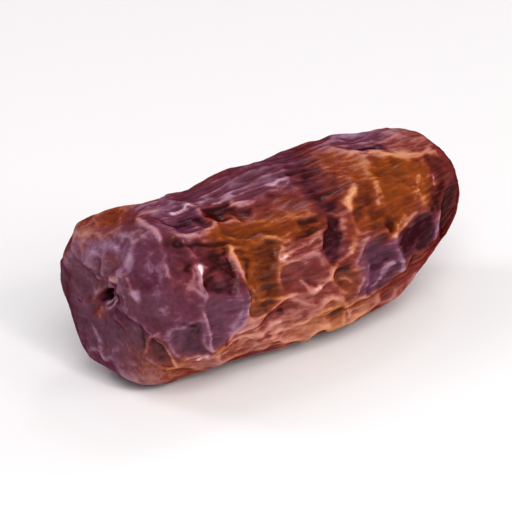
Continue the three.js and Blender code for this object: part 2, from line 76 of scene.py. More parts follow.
# Facets of the front: mm along the skin from the scar, degrees from the top to the front,
# half length, half width, level; then from 0 to 1 wrinkles, amber, plum, dark, pale. Dark is partly
# painted shade where a facet is sunk, and pale partly a painted highlight where one is raised.
FRONT_FACETS = [
    # The first row's violet is the skin's plum with a painted sheen
    (7.0, -19, 2.6, 3, 0.1, 0.3, 0, 1, 0, 0.35),
    (4.6, -72, 2.4, 3, 0, 0.3, 0, 0.9, 0, 0.25),
    (4.1, -162, 2.4, 3.4, 0, 0.3, 0, 0.8, 0.3, 0.15),
    (4.8, -1, 2, 2, 0, 0.2, 0, 0.6, 0, 0.3),
    (7.5, 41, 2.4, 2.8, 0.12, 0.3, 0, 0.8, 0.15, 0.2),
    (7.7, 74, 2.4, 2.6, 0.05, 0.3, 0, 0.6, 0.2, 0.15),
    (5.4, 142, 2.4, 3, 0.15, 0.3, 0, 1, 0.2, 0.15),
    (8.0, 121, 1.8, 1.5, -0.05, 0.3, 0.2, 0.2, 0.4, 0.1),
    (11.0, 103, 1.4, 1.5, -0.2, 0.3, 0, 0.8, 0.05, 0),
    (8.7, -26, 2.4, 2, 0.05, 0.3, 0.8, 0, 0.1, 0.45),
    (10.4, -1, 2, 2, 0, 0.4, 0.3, 0.35, 0.1, 0.4),
    (14.7, 61, 2.2, 2.2, -0.2, 0.3, 0, 0.3, 0.55, 0),
    (10.4, 42, 1.6, 2.2, -0.05, 0.3, 0, 0.4, 0.35, 0.15),
    (13.7, 84, 2.4, 2.2, 0.2, 0.3, 0, 1, 0.2, 0.2),
    # This row's pale is a painted highlight on the bump
    (11.4, 61, 1.2, 1.3, 0.25, 0.2, 0, 0.4, 0, 1),
    (15.3, 11, 3, 2.2, 0.05, 1, 0, 0.9, 0.2, 0.5),
    (21.5, 0, 3.2, 2.4, 0.05, 1, 0, 0.8, 0.25, 0.35),
    (21.7, 21, 1.8, 1.2, -0.25, 0.8, 0.1, 0.3, 0.85, 0),
    (26.4, 3, 3.6, 2.6, 0.1, 1, 0, 0.8, 0.1, 0.4),
    (34.1, 21, 3.4, 2.8, -0.1, 0.9, 0, 0.5, 0.6, 0),
    (25.9, 27, 4.2, 1.8, 0.05, 1, 0.25, 0.1, 0.05, 0.2),
    (23.0, 37, 4.4, 1.5, 0.2, 0.3, 1, 0, 0.25, 0.05),
    (22.3, 70, 1.9, 2.9, -0.35, 0.2, 1.0, 0, 0.25, 0),
    (28.4, 47, 2.4, 1, 0.1, 0.3, 0.6, 0, 0.45, 0),
    (26.8, 63, 2.2, 1.3, -0.1, 0.3, 0, 0.1, 0.05, 0.6),
    (26.8, 79, 2.4, 1.7, -0.2, 0.3, 0, 0.15, 0.1, 0.15),
    (32.2, 61, 1.5, 1.9, -0.25, 0.4, 0, 0.6, 0.6, 0),
    (28.2, 94, 2.4, 1.5, -0.05, 0.3, 0.1, 0, 0, 0.85),
    (34.3, 62, 1.3, 1.8, 0.1, 0.4, 0.35, 0.1, 0, 0.5),
    (31.9, 88, 1.5, 1.5, 0, 0.4, 0.6, 0, 0.15, 0.2),
    (37.4, 81, 1.9, 1.9, -0.2, 0.3, 0, 1, 0.3, 0.1),
    (37.4, 97, 1.9, 1.9, 0.05, 0.3, 0, 1, 0.35, 0.1),
    (38.2, 21, 2.6, 2.4, 0, 0.4, 0.8, 0, 0, 1),
    (43.1, 34, 2.8, 2.2, -0.15, 0.3, 1, 0, 0.25, 0),
    (37.9, 53, 2.4, 2.6, 0, 0.4, 0.7, 0, 0.2, 0.05),
    (41.6, 53, 2.2, 2.4, -0.1, 0.3, 1, 0, 0, 0.4),
    (39.5, 66, 1.2, 1.0, -0.1, 0.3, 0.9, 0, 0.7, 0),
    (42.6, 74, 2, 2.4, -0.25, 0.4, 0, 0.7, 0.85, 0),
    (46.9, 55, 2.2, 2.4, -0.1, 0.3, 0.2, 0, 0.55, 0),
    (47.2, 10, 3.2, 1.4, 0.1, 0.3, 0.2, 0.1, 0, 0.6),
    (43.4, -2, 3, 2, 0, 0.7, 0, 0.8, 0.1, 0.65),
    (18.2, 113, 2.6, 1.6, 0.2, 0.5, 0.3, 0, 0, 0.7),
    (23.9, 107, 3, 1.6, -0.05, 0.5, 0.05, 0.05, 0, 0.5),
    (26.8, 118, 3.4, 1.3, 0.35, 0.4, 0.5, 0, 0, 1),
    (30.7, 117, 2.2, 1.3, 0.25, 0.4, 0.9, 0, 0, 0.35),
    (35.3, 118, 2.2, 1.5, 0.15, 0.4, 0.45, 0, 0, 0.65),
    (8.2, 142, 2.8, 2, 0.15, 0.3, 0.5, 0, 0, 0.55),
    (12.9, 128, 2.4, 1.6, 0.2, 0.3, 0.15, 0.2, 0, 0.9),
    (50.3, 80, 2.2, 2.6, 0, 0.4, 0, 0.1, 0.65, 0),
    (40.6, 112, 2.2, 1.6, 0.1, 0.4, 0.3, 0.1, 0.1, 0.3),
    (6.5, -115, 3, 3.4, 0, 0.4, 0, 0.9, 0.3, 0.1),
    (55.5, 40, 3, 3.5, 0, 0.4, 0, 0.3, 0.6, 0.1),
    (54.5, -70, 3, 3.5, 0, 0.4, 0.1, 0.4, 0.4, 0.1),
    (55.0, 165, 3, 3.5, 0, 0.4, 0.1, 0.3, 0.4, 0.1),
]
# The back's facets lie in rings: mm along and how many there are in the ring
BACK_RINGS = [(10.5, 3), (17.0, 5), (24.0, 6), (31.5, 6), (38.5, 5), (45.0, 5), (51.5, 3)]
BACK_START, BACK_SPAN = -18, 197             # degrees

# Folds, and creases where the strength is negative: path of mm along and degrees, strength, half width
FOLDS = [
    ([(11.4, -2), (10.6, 10), (10.4, 20), (10.0, 30)], 0.5, 0.45),
    ([(11.0, 24), (12.1, 29), (14.3, 33), (16.1, 32), (18.9, 26), (21.2, 28), (23.4, 30)], 0.5, 0.45),
    ([(22.6, 31), (25.9, 37), (28.9, 41), (31.2, 44), (34.1, 41)], 0.35, 0.6),
    ([(17.2, 35), (20.6, 41), (23.7, 47), (26.1, 47), (29.3, 49), (31.9, 49)], 0.35, 0.6),
    ([(10.6, 32), (13.1, 38), (16.1, 41), (19.5, 45)], -0.45, 0.4),
    ([(27.5, 42), (30.0, 44), (31.9, 43), (34.1, 41)], -0.55, 0.4),
    ([(24.5, 55), (26.6, 53), (29.1, 53), (30.3, 53)], -0.4, 0.35),
    ([(18.4, 45), (18.9, 54), (18.4, 63), (18.9, 72), (19.9, 83)], 0.45, 0.45),
    ([(17.6, 52), (17.6, 59), (17.4, 65)], -0.35, 0.35),
    ([(20.8, 53), (19.3, 63), (19.1, 76), (20.2, 86)], -0.25, 0.35),
    ([(19.7, 83), (21.5, 84), (23.9, 90), (26.4, 89)], 0.3, 0.35),
    ([(24.3, 63), (23.9, 73), (23.7, 84)], 0.2, 0.4),
    ([(26.6, 89), (28.4, 91), (29.8, 86), (30.7, 78), (32.4, 74), (33.6, 70), (34.3, 64)], 0.5, 0.5),
    ([(24.5, 62), (25.9, 60), (28.4, 59), (30.5, 54)], 0.35, 0.35),
    ([(25.2, 69), (27.3, 67), (29.1, 65)], 0.2, 0.3),
    ([(29.1, 69), (30.5, 63), (31.0, 57), (32.4, 52), (33.3, 48)], -0.45, 0.45),
    ([(11.0, 80), (11.7, 88), (13.0, 98), (13.2, 112)], 0.45, 0.42),
    ([(9.1, 88), (10.0, 93), (11.0, 94)], -0.3, 0.3),
    ([(7.0, 132), (6.3, 122), (6.6, 110), (7.8, 95)], 0.35, 0.32),
    ([(6.8, 109), (8.2, 111), (9.3, 118), (10.8, 133)], 0.35, 0.32),
    ([(4.9, 36), (4.8, 52), (4.9, 70)], 0.3, 0.35),
    ([(4.9, 95), (5.6, 121), (6.6, 131)], -0.3, 0.4),
    ([(4.0, -133), (4.8, -160), (7.0, -176), (8.0, 170)], 0.25, 0.4),
    ([(42.1, 61), (40.6, 66), (39.4, 76)], 0.35, 0.38),
    ([(46.7, 40), (45.4, 49), (43.1, 58)], 0.3, 0.4),
    ([(40.1, 35), (39.4, 45), (38.7, 54)], 0.25, 0.4),
    ([(37.2, 32), (36.0, 39), (34.3, 46)], 0.35, 0.5),
    ([(38.7, 3), (42.4, 10), (44.9, 17), (47.9, 23), (47.9, 38), (47.2, 52)], 0.4, 0.6),
    ([(41.6, -4), (43.4, 6), (44.9, 8)], -0.35, 0.45),
    ([(33.6, 105), (33.8, 96), (34.5, 91)], 0.3, 0.35),
    ([(39.4, 92), (37.9, 96), (37.2, 103)], 0.25, 0.45),
    ([(42.4, 72), (41.4, 80), (40.9, 91)], -0.3, 0.45),
    ([(21.7, 115), (25.7, 118), (27.5, 113), (29.6, 111), (33.3, 108)], 0.4, 0.45),
    ([(14.9, 111), (17.4, 110), (21.5, 113), (23.2, 110)], 0.35, 0.45),
    ([(20.8, 100), (23.9, 103), (26.4, 102)], -0.3, 0.35),
    ([(29.1, 119), (31.4, 118), (33.8, 113)], -0.25, 0.35),
    ([(12.1, 3), (12.5, 17), (15.1, 20), (18.7, 19)], -0.35, 0.45),
    ([(19.3, 15), (21.5, 14), (23.2, 15)], -0.35, 0.4),
    ([(22.0, -26), (28.0, -22), (34.0, -20), (41.0, -26), (48.0, -22)], 0.4, 0.6),
    ([(13.0, -52), (20.0, -46), (28.0, -53), (35.0, -48)], 0.5, 0.55),
    ([(12.0, -76), (19.0, -83), (27.0, -76), (35.0, -82), (43.0, -75)], 0.6, 0.6),
    ([(31.0, -60), (38.0, -63), (46.0, -56), (51.0, -60)], 0.5, 0.55),
    ([(16.0, -110), (24.0, -103), (32.0, -109), (40.0, -102), (48.0, -110)], 0.55, 0.6),
    ([(11.0, -128), (19.0, -133), (27.0, -126)], 0.4, 0.5),
    ([(35.0, -130), (42.0, -126), (49.0, -134)], 0.4, 0.5),
    ([(43.0, 118), (46.5, 116), (50.0, 108)], -0.6, 1.2),
    ([(15.0, -34), (23.0, -38), (32.0, -34)], -0.45, 1.1),
    ([(19.0, -94), (27.0, -90), (36.0, -94)], -0.4, 1.1),
    ([(34.0, -72), (40.0, -69), (46.0, -73)], -0.4, 1.0),
]
# Strokes of colour: path of mm along and degrees, half width, then what each adds to
# amber, plum, dark, pale. Many pale ones are painted highlights, glints and sheen, and some dark ones
# painted shade beside folds and bumps.
STROKES = [
    ([(18.6, 49), (18.9, 55), (18.9, 59), (18.5, 63)], 0.55, -0.1, 0, -0.5, 0.85),
    # These two: a painted white glint on the bump, and a painted pink highlight below it
    ([(13.0, 54), (13.2, 57)], 0.7, 0, 0.5, -0.7, 1.8),
    ([(11.9, 62), (11.6, 68)], 0.7, 0, 0.2, -0.2, 0.5),
    ([(13.5, 52), (13.7, 55)], 0.25, 0, 0, -0.3, 0.6),
    ([(12.5, 48), (11.0, 51), (10.2, 59)], 0.35, 0, 0, 0.8, 0),
    ([(13.5, 64), (11.4, 71)], 0.4, 0, 0, 0.5, 0),
    ([(17.4, 51), (17.4, 64)], 0.3, 0, 0, 1, 0),
    # A painted pink highlight
    ([(24.5, 63), (25.0, 61)], 0.4, 0, 0, -0.4, 1.1),
    # A painted violet sheen on the stem end
    ([(5.9, -16), (6.4, -14), (6.8, -8)], 0.8, -0.3, 0.5, 0, 0.5),
    ([(6.6, -3), (6.4, -1)], 0.4, 0, 0, 0, 0.5),
    ([(5.3, 2), (4.3, 34)], 0.6, -0.1, -0.15, 0, 0.15),
    ([(6.6, 17), (5.6, 34)], 0.35, 0, 0, 0, 0.6),
    ([(2.6, 8), (3.5, 24)], 0.35, 0, -0.3, -0.3, 0.8),
    ([(0.7, -94), (0.8, 163)], 0.25, 0, 0, -0.3, 0.9),
    ([(5.0, 57), (5.0, 66)], 0.4, 0, 0.2, -0.3, 0.9),
    ([(1.9, -118), (1.7, -149)], 0.45, 0, -0.3, 0, 0.3),
    ([(2.5, -51), (2.6, -87), (2.1, -145)], 0.9, 0, -0.35, 0.15, 0),
    ([(8.0, 39), (8.0, 47)], 0.6, 0, 0, 0, 0.4),
    ([(6.6, 45), (6.8, 49)], 0.4, 0, 0, 0, 0.4),
    ([(7.3, 52), (6.6, 56), (5.6, 58)], 0.4, 0, 0, 0.45, 0),
    ([(9.3, 45), (8.9, 51)], 0.25, 0, 0, 0, 0.6),
    ([(7.5, 75), (7.7, 80)], 0.3, 0, 0, 0, 0.4),
    ([(10.4, 103), (11.0, 106)], 0.5, 0, 0.8, -0.3, 0),
    ([(10.0, 122), (11.2, 117)], 0.4, 0.6, -0.2, 0, 0),
    ([(9.9, 135), (10.8, 128)], 0.5, 0.4, -0.2, 0, 0.3),
    ([(12.3, 123), (12.9, 112)], 0.5, 0, 0, -0.3, 0.7),
    ([(13.9, 108), (14.7, 108)], 0.5, 0.7, 0, 0, -0.2),
    ([(18.7, 89), (19.3, 84)], 0.35, 0, 0, 0, 0.7),
    ([(20.4, 87), (21.7, 101)], 0.55, -0.2, 0, 0.5, -0.2),
    ([(24.1, 103), (24.3, 104)], 0.35, 0, 0, 1, -0.3),
    ([(22.8, 109), (23.4, 111)], 0.4, 0, 0, 0, 0.6),
    ([(30.3, 118), (31.9, 116)], 0.45, 0.6, 0, 0, -0.6),
    ([(34.3, 123), (33.8, 116)], 0.3, 0, 0, 0, 0.6),
    ([(15.3, 106), (15.3, 103)], 0.35, 0, 0, 0.8, -0.3),
    ([(21.2, 119), (21.7, 117)], 0.3, 0, 0, 0.7, -0.3),
    ([(18.0, 112), (20.4, 114)], 0.5, 0, 0, 0, 0.5),
    ([(35.0, 45), (36.2, 39)], 0.55, 0.45, -0.2, -0.5, 0.95),
    ([(39.4, 41), (38.7, 54)], 0.4, -0.3, 0, 0, 0.35),
    ([(36.5, 53), (36.2, 60)], 0.35, 0, 0, 0, 0.5),
    ([(39.6, 63), (39.3, 69)], 0.5, 0, -0.2, 0.9, -0.3),
    ([(34.5, 66), (34.1, 72)], 0.4, 0.2, 0, 0, 0.6),
    ([(32.6, 90), (33.3, 93)], 0.3, 0, 0, -0.3, 0.8),
    ([(32.4, 81), (33.1, 80)], 0.35, -0.3, 0, 0.9, -0.3),
    ([(38.4, 93), (37.2, 96), (36.5, 102)], 0.45, 0, 0.3, -0.4, 0.6),
    ([(36.0, 92), (37.7, 90)], 0.35, 0, 0, 0.6, 0),
    ([(39.6, 93), (40.1, 98)], 0.4, 0, 0.4, -0.3, 0.5),
    ([(43.3, 78), (43.0, 88)], 0.5, -0.2, 0, 0.7, -0.3),
    ([(42.5, 65), (41.2, 68), (39.7, 75)], 0.4, 0.1, -0.3, -0.4, 0.45),
    ([(46.4, 34), (46.6, 51), (45.1, 61)], 1.0, 0.7, 0, -0.5, 0.1),
    ([(46.1, 46), (45.3, 57)], 0.5, -0.2, 0, -0.1, 0.2),
    ([(48.5, 62), (47.4, 71)], 0.7, 0, -0.3, 0.4, -0.2),
    # A painted red-pink glint
    ([(48.7, 48), (48.2, 53)], 0.3, 0, 0, -0.4, 1),
    # A painted highlight along the top crest
    ([(44.4, 14), (46.6, 18), (48.6, 25), (50.0, 31)], 0.7, 0.2, -0.2, -0.2, 0.65),
    ([(43.4, 3), (45.4, 8)], 0.35, 0, 0.6, 0.8, -0.5),
    # A painted lilac reflection at the tip's end
    ([(47.2, 77), (46.7, 82), (46.2, 93)], 0.9, 0, 0.7, -0.5, 0.5),
    ([(45.6, 69), (45.3, 79)], 0.5, 0, 0.1, 0.7, -0.2),
    ([(28.6, 10), (29.6, 9)], 0.4, 0, 0, -0.2, 1),
    ([(31.4, 12), (32.2, 15)], 0.3, 0, 0, -0.1, 0.6),
    ([(23.2, 14), (23.2, 17)], 0.3, 0, 0, -0.1, 0.7),
    ([(22.3, 8), (23.7, 9)], 0.35, 0, 0, -0.2, 0.8),
    ([(21.0, 27), (21.5, 27)], 0.4, 0, 0, 0, 0.6),
    ([(14.7, 5), (17.6, 8), (19.3, 7)], 0.45, 0, 0, -0.3, 0.9),
    ([(20.4, 5), (21.5, 1)], 0.5, 0, 0, -0.2, 0.6),
    ([(12.1, -2), (12.9, -2)], 0.4, 0, 0, 0, 0.6),
    ([(14.7, 17), (17.6, 18)], 0.5, 0, 0.2, 0.6, 0),
    ([(11.6, 10), (11.4, 12)], 0.4, 0, 0, 0.6, 0),
    ([(27.0, 17), (27.5, 22)], 0.3, 0, 0, 0.6, 0),
    ([(36.5, 20), (36.0, 23)], 0.35, 0, 0, 0.7, 0),
    ([(4.5, -144), (5.1, -163), (7.0, -180)], 0.4, 0, 0.2, 0, 0.6),
    ([(26.6, 82), (28.2, 91)], 0.3, 0, 0, -0.2, 0.7),
    ([(27.7, 83), (27.7, 87)], 0.3, 0, 0, 0.7, -0.3),
]
# Swellings that the plump body has besides: mm along, degrees, half length, half width, height
SWELLINGS = [
    (7.3, -43, 3.0, 3.4, 1.4),
    (11.0, -18, 2.6, 2.6, -0.7),
    (6.9, -64, 1.3, 1.1, 0.35),
    (7.0, -80, 1.2, 1.3, -0.35),
    (7.9, -105, 4.0, 5.5, 0.22),
    (8.7, -160, 3.4, 5.0, 0.1),
    (9.3, 168, 3.4, 3.8, 0.6),
    (12.0, 138, 2.6, 2.8, -0.8),
    (18.5, 137, 2.2, 2.6, -0.4),
    (26.0, -25, 4.2, 4.5, 1.25),
    (27.5, 137, 8.0, 3.0, 0.65),
    (40.8, 128, 2.0, 2.4, 0.4),
    (40.5, -22, 3.5, 4.0, 0.4),
    (51.6, -20, 3.6, 4.5, 0.5),
    (22.5, 137, 2.5, 2.6, 0.3),
    (34.5, 131, 3.2, 2.6, 0.35),
    (50.2, 122, 3.2, 4.0, -0.5),
    (52.2, 42, 3.2, 3.4, 0.75),
    (55.5, 70, 3.0, 5.0, -0.4),
    (15.1, 61, 1.0, 0.9, 0.45),
]
# The ends, in mm: how far the skin sinks or stands out there, and within what radius
SCAR = (1.1, -55)                            # mm along and degrees, where the stem was attached
STEM_SINK, STEM_SINK_RADIUS = 0.8, 2.6
HOLE_DEPTH, HOLE_RADIUS = 1.2, 1.1
RIM_HEIGHT, RIM_RADIUS, RIM_WIDTH = 0.30, 1.7, 0.45
TIP_SINK, TIP_SINK_RADIUS = 0.45, 2.2
POINT_HEIGHT, POINT_RADIUS = 0.75, 0.75

# Uneven steps and a large factor, so that every cell, seed and axis draws its own number
KEY_STEPS, SEED_STEP, AXIS_STEP = (127.1, 311.7, 74.7), 53.3, 19.19
FAR_DIGITS = 43758.5453


def draw(key):
    """A number from 0 to 1 for each key, always the same: the digits far behind sin(key)'s point."""
    value = np.sin(key) * FAR_DIGITS
    return value - np.floor(value)


def unevenness(points, lengths, seed):
    """Smooth uneven values of about -0.5 to 0.5. Each corner of a lattice of cells of the given
    lengths (x, then y and z) has a drawn slope, and the eight slopes are blended across a cell."""
    p = points / np.array([lengths[0], lengths[-1], lengths[-1]]).reshape(3, 1, 1)
    cell = np.floor(p)
    f = p - cell
    fade = f ** 3 * (f * (f * 6 - 15) + 10)
    total = np.zeros(p.shape[1:])
    for corner in range(8):
        offset = np.array([corner & 1, corner >> 1 & 1, corner >> 2 & 1]).reshape(3, 1, 1)
        key = np.tensordot(KEY_STEPS, cell + offset, axes=1) + seed * SEED_STEP
        slopes = np.stack([2 * draw(key + axis * AXIS_STEP) - 1 for axis in range(3)])
        weight = np.prod(np.where(offset == 1, fade, 1 - fade), axis=0)
        total += weight * (slopes * (f - offset)).sum(axis=0)
    return total


def step(value, start, end):
    """0 below start, 1 above end, and an S curve between: 3t^2 - 2t^3."""
    t = np.clip((value - start) / (end - start), 0, 1)
    return t * t * (3 - 2 * t)


def bell(distance, width):
    """1 at distance 0, falling as e^-(distance/width)^2."""
    return np.exp(-(distance / width) ** 2)


def outline():
    """Half outline of the plump body from the scar to the tip, in fine steps: length gone by, x and
    radius. It is a quarter superellipse, a straight side and a longer quarter superellipse."""
    angle = np.linspace(0, np.pi / 2, 1001)
    sine, cosine = np.sin(angle), np.maximum(np.cos(angle), 0)
    x = np.concatenate([STEM_DEPTH * (1 - cosine ** (2 / STEM_FULLNESS)) - LENGTH / 2,
                        LENGTH / 2 - TIP_DEPTH * (1 - sine ** (2 / TIP_FULLNESS))])
    r = RADIUS * np.concatenate([sine ** (2 / STEM_FULLNESS), cosine ** (2 / TIP_FULLNESS)])
    return np.concatenate([[0], np.cumsum(np.hypot(np.diff(x), np.diff(r)))]), x, r


def on_body(along, turn):
    """The place on the plump body that is so many mm along it from the scar and so many degrees
    round it from the top to the front."""
    gone, x, r = OUTLINE
    r = np.interp(along, gone, r)
    angle = np.radians(turn)
    return np.array([np.interp(along, gone, x), -r * np.sin(angle), r * np.cos(angle)])


OUTLINE = outline()


def back_facets():
    """The back's facets by rule: even places in each ring, each moved, sized and coloured by a draw."""
    facets = []
    for ring, (ring_along, count) in enumerate(BACK_RINGS):
        for j in range(count):
            key = (len(facets) + 1) * KEY_STEPS[0]
            aside, ahead, long, wide, level, wrinkled, amber, plum, dark, pale = (
                draw(key + k * KEY_STEPS[1]) for k in range(1, 11))
            turn = BACK_START - (j + 0.5 + 0.3 * (ring % 2)) * BACK_SPAN / count + 14 * (aside - 0.5)
            facets.append((ring_along + 3.4 * (ahead - 0.5), turn, 3.0 + 1.9 * long, 2.2 + 1.2 * wide,
                           -0.45 + 0.65 * level, wrinkled,
                           0.8 * amber ** 2, plum, 0.9 * dark ** 1.5, 0.6 * pale ** 1.5))
    return facets


FACETS = FRONT_FACETS + back_facets()


def apart(places, along, turn, long, wide):
    """Squared distance of each place from one on the plump body, in half lengths along the fruit,
    half widths round it and SKIN_REACH off the skin."""
    nearby = 0.4
    forward = on_body(along + nearby, turn) - on_body(max(along - nearby, 0), turn)
    forward /= np.linalg.norm(forward)
    around = np.array([0, -np.cos(np.radians(turn)), -np.sin(np.radians(turn))])
    axes = np.stack([forward / long, around / wide, np.cross(forward, around) / SKIN_REACH])
    gap = np.tensordot(axes, places - on_body(along, turn).reshape(3, 1, 1), axes=1)
    return (gap ** 2).sum(axis=0)


def facet_shares(places, sharpness):
    """Each facet's share at each place: e^-(sharpness times their squared distance)."""
    return np.array([np.exp(-sharpness * apart(places, *facet[:4])) + 1e-30 for facet in FACETS])


def facet_relief(body, places):
    """Height and wrinkles that the facets give. Each place takes its facets' level by their shares
    and rises with its distance from all of them. A crest, uneven in strength, stands where shares
    are alike."""
    shares = facet_shares(places, FACET_SHARPNESS)
    total = shares.sum(axis=0)
    shares /= total
    level, wrinkled = np.tensordot(np.array(FACETS)[:, 4:6].T, shares, axes=1)
    border = 2 * (1 - (shares ** 2).sum(axis=0))
    strength = np.clip(0.45 + 1.7 * unevenness(body, (4.0,), seed=7), 0, 1.3)
    rise = np.clip(-np.log(total) / FACET_SHARPNESS, 0, 2)
    return LEVEL_HEIGHT * level + RISE_HEIGHT * rise + CREST_HEIGHT * border * strength, wrinkled


def distance_to(path, places):
    """Distance in mm from each place to a path, and the share of the path that lies behind the
    nearest point of it. The path runs over the plump body in short straight steps."""
    steps = 3 * (len(path) - 1)
    points = [on_body(*(np.interp(k / 3, range(len(path)), values) for values in zip(*path)))
              for k in range(steps + 1)]
    nearest, share = np.full(places.shape[1:], 1e9), np.zeros(places.shape[1:])
    for i, (start, stop) in enumerate(zip(points, points[1:])):
        gap = places - start.reshape(3, 1, 1)
        run = stop - start
        t = np.clip(np.tensordot(run, gap, axes=1) / run.dot(run), 0, 1)
        distance = np.sqrt(((gap - t * run.reshape(3, 1, 1)) ** 2).sum(axis=0))
        share = np.where(distance < nearest, (i + t) / steps, share)
        nearest = np.minimum(distance, nearest)
    return nearest, share


def fold_relief(places):
    """Height of the long folds and creases: e^-distance over the half width across each path, its
    crest a little rounded, which fades in and out over 15% of the path at its ends. Also how
    near their middle lines are, up to 1 on a high fold's and down to -1 on a deep crease's."""
    fade, rounding, high_fold = 0.15, 0.35, 0.4
    height, line = np.zeros(places.shape[1:]), np.zeros(places.shape[1:])
    for path, strength, width in FOLDS:
        nearest, share = distance_to(path, places)
        middle = step(share, 0, fade) * (1 - step(share, 1 - fade, 1))
        across = np.exp(rounding - np.hypot(nearest / width, rounding))
        height += FOLD_HEIGHT * strength * (0.2 + 0.8 * middle) * across
        line += np.clip(strength / high_fold, -1, 1) * middle * bell(nearest, 0.8 * width)
    return height, line


def colouring(places):
    """Amber, plum, dark and pale: the facets' own, which run into each other, and what the strokes
    add, each as a bell across its path. Above 1, pale is a painted glint."""
    shares = facet_shares(places, COLOUR_SHARPNESS)
    colours = np.tensordot(np.array(FACETS)[:, 6:].T, shares / shares.sum(axis=0), axes=1)
    for path, width, *amounts in STROKES:
        colours += np.array(amounts).reshape(4, 1, 1) * bell(distance_to(path, places)[0], width)
    return np.clip(colours, 0, [[[1]], [[1]], [[1]], [[2]]])


def ridges(unrolled, lengths, seed, wander, width):
    """Ridges of height 0 to 1 in cells of the given lengths: sharp where an uneven field that the
    wander has bent passes through zero, and gone where it is further than width from zero."""
    bent = unrolled + wander * np.array([lengths[0], lengths[-1], lengths[-1]]).reshape(3, 1, 1)
    away = np.abs(unevenness(bent, lengths, seed)) / width
    rounding = 0.12
    return np.clip(1.04 - np.hypot(away, rounding), 0, 1) ** 1.5


# Wrinkles from end to end: height, a cell's length and width in mm, seed, how much they wander,
# ridge width, and the share of the height that smooth skin has and that wrinkled skin adds
WRINKLES = [
    (0.13, (11.0, 1.8), 6, 0.6, 0.24, 0.30, 0.8),
    (0.10, (5.0, 0.95), 9, 0.9, 0.26, 0.45, 0.6),
    (0.045, (2.6, 0.6), 16, 1.2, 0.34, 1.0, 0.0),
]
# Crumples in all directions: height, a cell's length and width, seed, wandering, ridge width
CRUMPLES = [(0.10, (4.4, 3.2), 18, 0.5, 0.22), (0.05, (2.0, 1.4), 19, 0.8, 0.26)]


def wrinkle_relief(body, unrolled, wrinkled, drawn_out):
    """Height of the wrinkles, which are ridges drawn out along the fruit, of the crumples, which
    come and go, and of a fine grain. The wrinkles give way to crumples at the ends, where
    drawn_out falls to 0."""
    wander = unevenness(unrolled, (8.0, 4.0), seed=4)
    patches = np.clip(0.7 + 1.6 * unevenness(body, (6.0,), seed=17), 0, 1.2)
    crumpled = patches * (1.0 - 0.5 * drawn_out)
    wrinkles = sum(lift * np.clip(smooth + more * wrinkled, 0, 1)
                   * ridges(unrolled, cell, seed, bend * wander, width)
                   for lift, cell, seed, bend, width, smooth, more in WRINKLES)
    crumples = sum(lift * ridges(body, cell, seed, bend * wander, width)
                   for lift, cell, seed, bend, width in CRUMPLES)
    grain = GRAIN_HEIGHT * unevenness(body, (0.9, 0.6), seed=10)
    return drawn_out * wrinkles + crumpled * crumples + grain


def puckers(count, angle, bend, distance, starts, ends):
    """Puckers of height 1: so many cosines round the angle, bent by uneven values, which set in
    over the first span of the distance and are gone after the second."""
    return np.cos(count * angle + 3 * bend) * step(distance, *starts) * (1 - step(distance, *ends))


def end_relief(body, angle, from_tip):
    """Height at both ends: the stem end sinks round its scar, with a hole, a ragged rim and puckers
    that are higher to the front, and the tip is drawn in round a small point. Also the distance
    from the scar."""
    away = body - on_body(*SCAR).reshape(3, 1, 1)
    from_scar = np.sqrt((away ** 2).sum(axis=0))
    round_scar = np.arctan2(-away[1], away[2])
    ragged = unevenness(body, (1.1,), seed=14)
    front = step(np.cos(round_scar - np.radians(60)), -0.4, 0.6)
    bend = unevenness(body, (2.5,), seed=11)
    stem = (0.08 + 0.12 * front) * puckers(11, round_scar, bend, from_scar, (1.2, 2.6), (3.0, 6.5))
    past_rim = from_scar - RIM_RADIUS - 0.35 * np.cos(3 * round_scar + 1)
    stem += RIM_HEIGHT * bell(past_rim, RIM_WIDTH) * (0.5 + 1.6 * ragged)
    past_hole = from_scar * (1 + 0.3 * np.cos(2 * round_scar + 0.6) + 0.9 * ragged)
    stem -= HOLE_DEPTH * (1 - step(past_hole, 0.3, HOLE_RADIUS))
    stem -= STEM_SINK * bell(from_scar, STEM_SINK_RADIUS)
    bend = unevenness(body, (2.0,), seed=15)
    tip = 0.14 * puckers(9, angle, bend, from_tip, (0.7, 2.0), (3.0, 7.0))
    tip += POINT_HEIGHT * bell(from_tip, POINT_RADIUS) - TIP_SINK * bell(from_tip, TIP_SINK_RADIUS)
    return stem + tip, from_scar


def posture(p):
    """A waist, less height than width, the stem end leaning to the front and up about a hinge, and
    both ends curving up with the square of x, the tip some more."""
    waist = 1 - WAIST * bell(p[0] - WAIST_X, WAIST_SPREAD)
    x, y, z = p[0], p[1] * waist, p[2] * waist * HEIGHT_SHARE
    lean = np.radians(LEAN) * step(-x, *LEAN_SPAN)
    front, top = np.sin(np.radians(LEAN_SIDE)), np.cos(np.radians(LEAN_SIDE))
    side = z * top - y * front
    arm = x - HINGE_X
    move = side * (np.cos(lean) - 1) - arm * np.sin(lean)
    x = arm * np.cos(lean) + side * np.sin(lean) + HINGE_X
    z = z + move * top + (x / CURVE_X) ** 2 + TIP_LIFT * step(x, *TIP_LIFT_SPAN)
    return np.stack([x, y - move * front, z])


def settled(p):
    """Centres the fruit where the solid's box is centred, and presses its lowest part flat."""
    for axis in (0, 1):
        p[axis] += (low[axis] + high[axis]) / 2 - (p[axis].max() + p[axis].min()) / 2
    p[2] = np.maximum(p[2] - p[2].min() - REST_CUT, 0) + low[2]
    return p


def standing_out(height, passes):
    """How far each point stands above its surroundings: its height less the mean that is left when
    it is averaged with its four neighbours again and again."""
    mean = height
    for _ in range(passes):
        inner = np.concatenate([mean[:1], mean, mean[-1:]])
        mean = (mean + inner[:-2] + inner[2:] + np.roll(mean, 1, 1) + np.roll(mean, -1, 1)) / 5
    return height - mean


WANDERINGS = [(4.6, 20), (1.7, 30), (0.8, 40)]    # cell in mm and seed: slow, quick and brief
SHARP_PASSES, SHARP_HEIGHT = 5, 0.05         # averagings, and the mm that count as 1
BROAD_PASSES, BROAD_HEIGHT = 60, 0.30


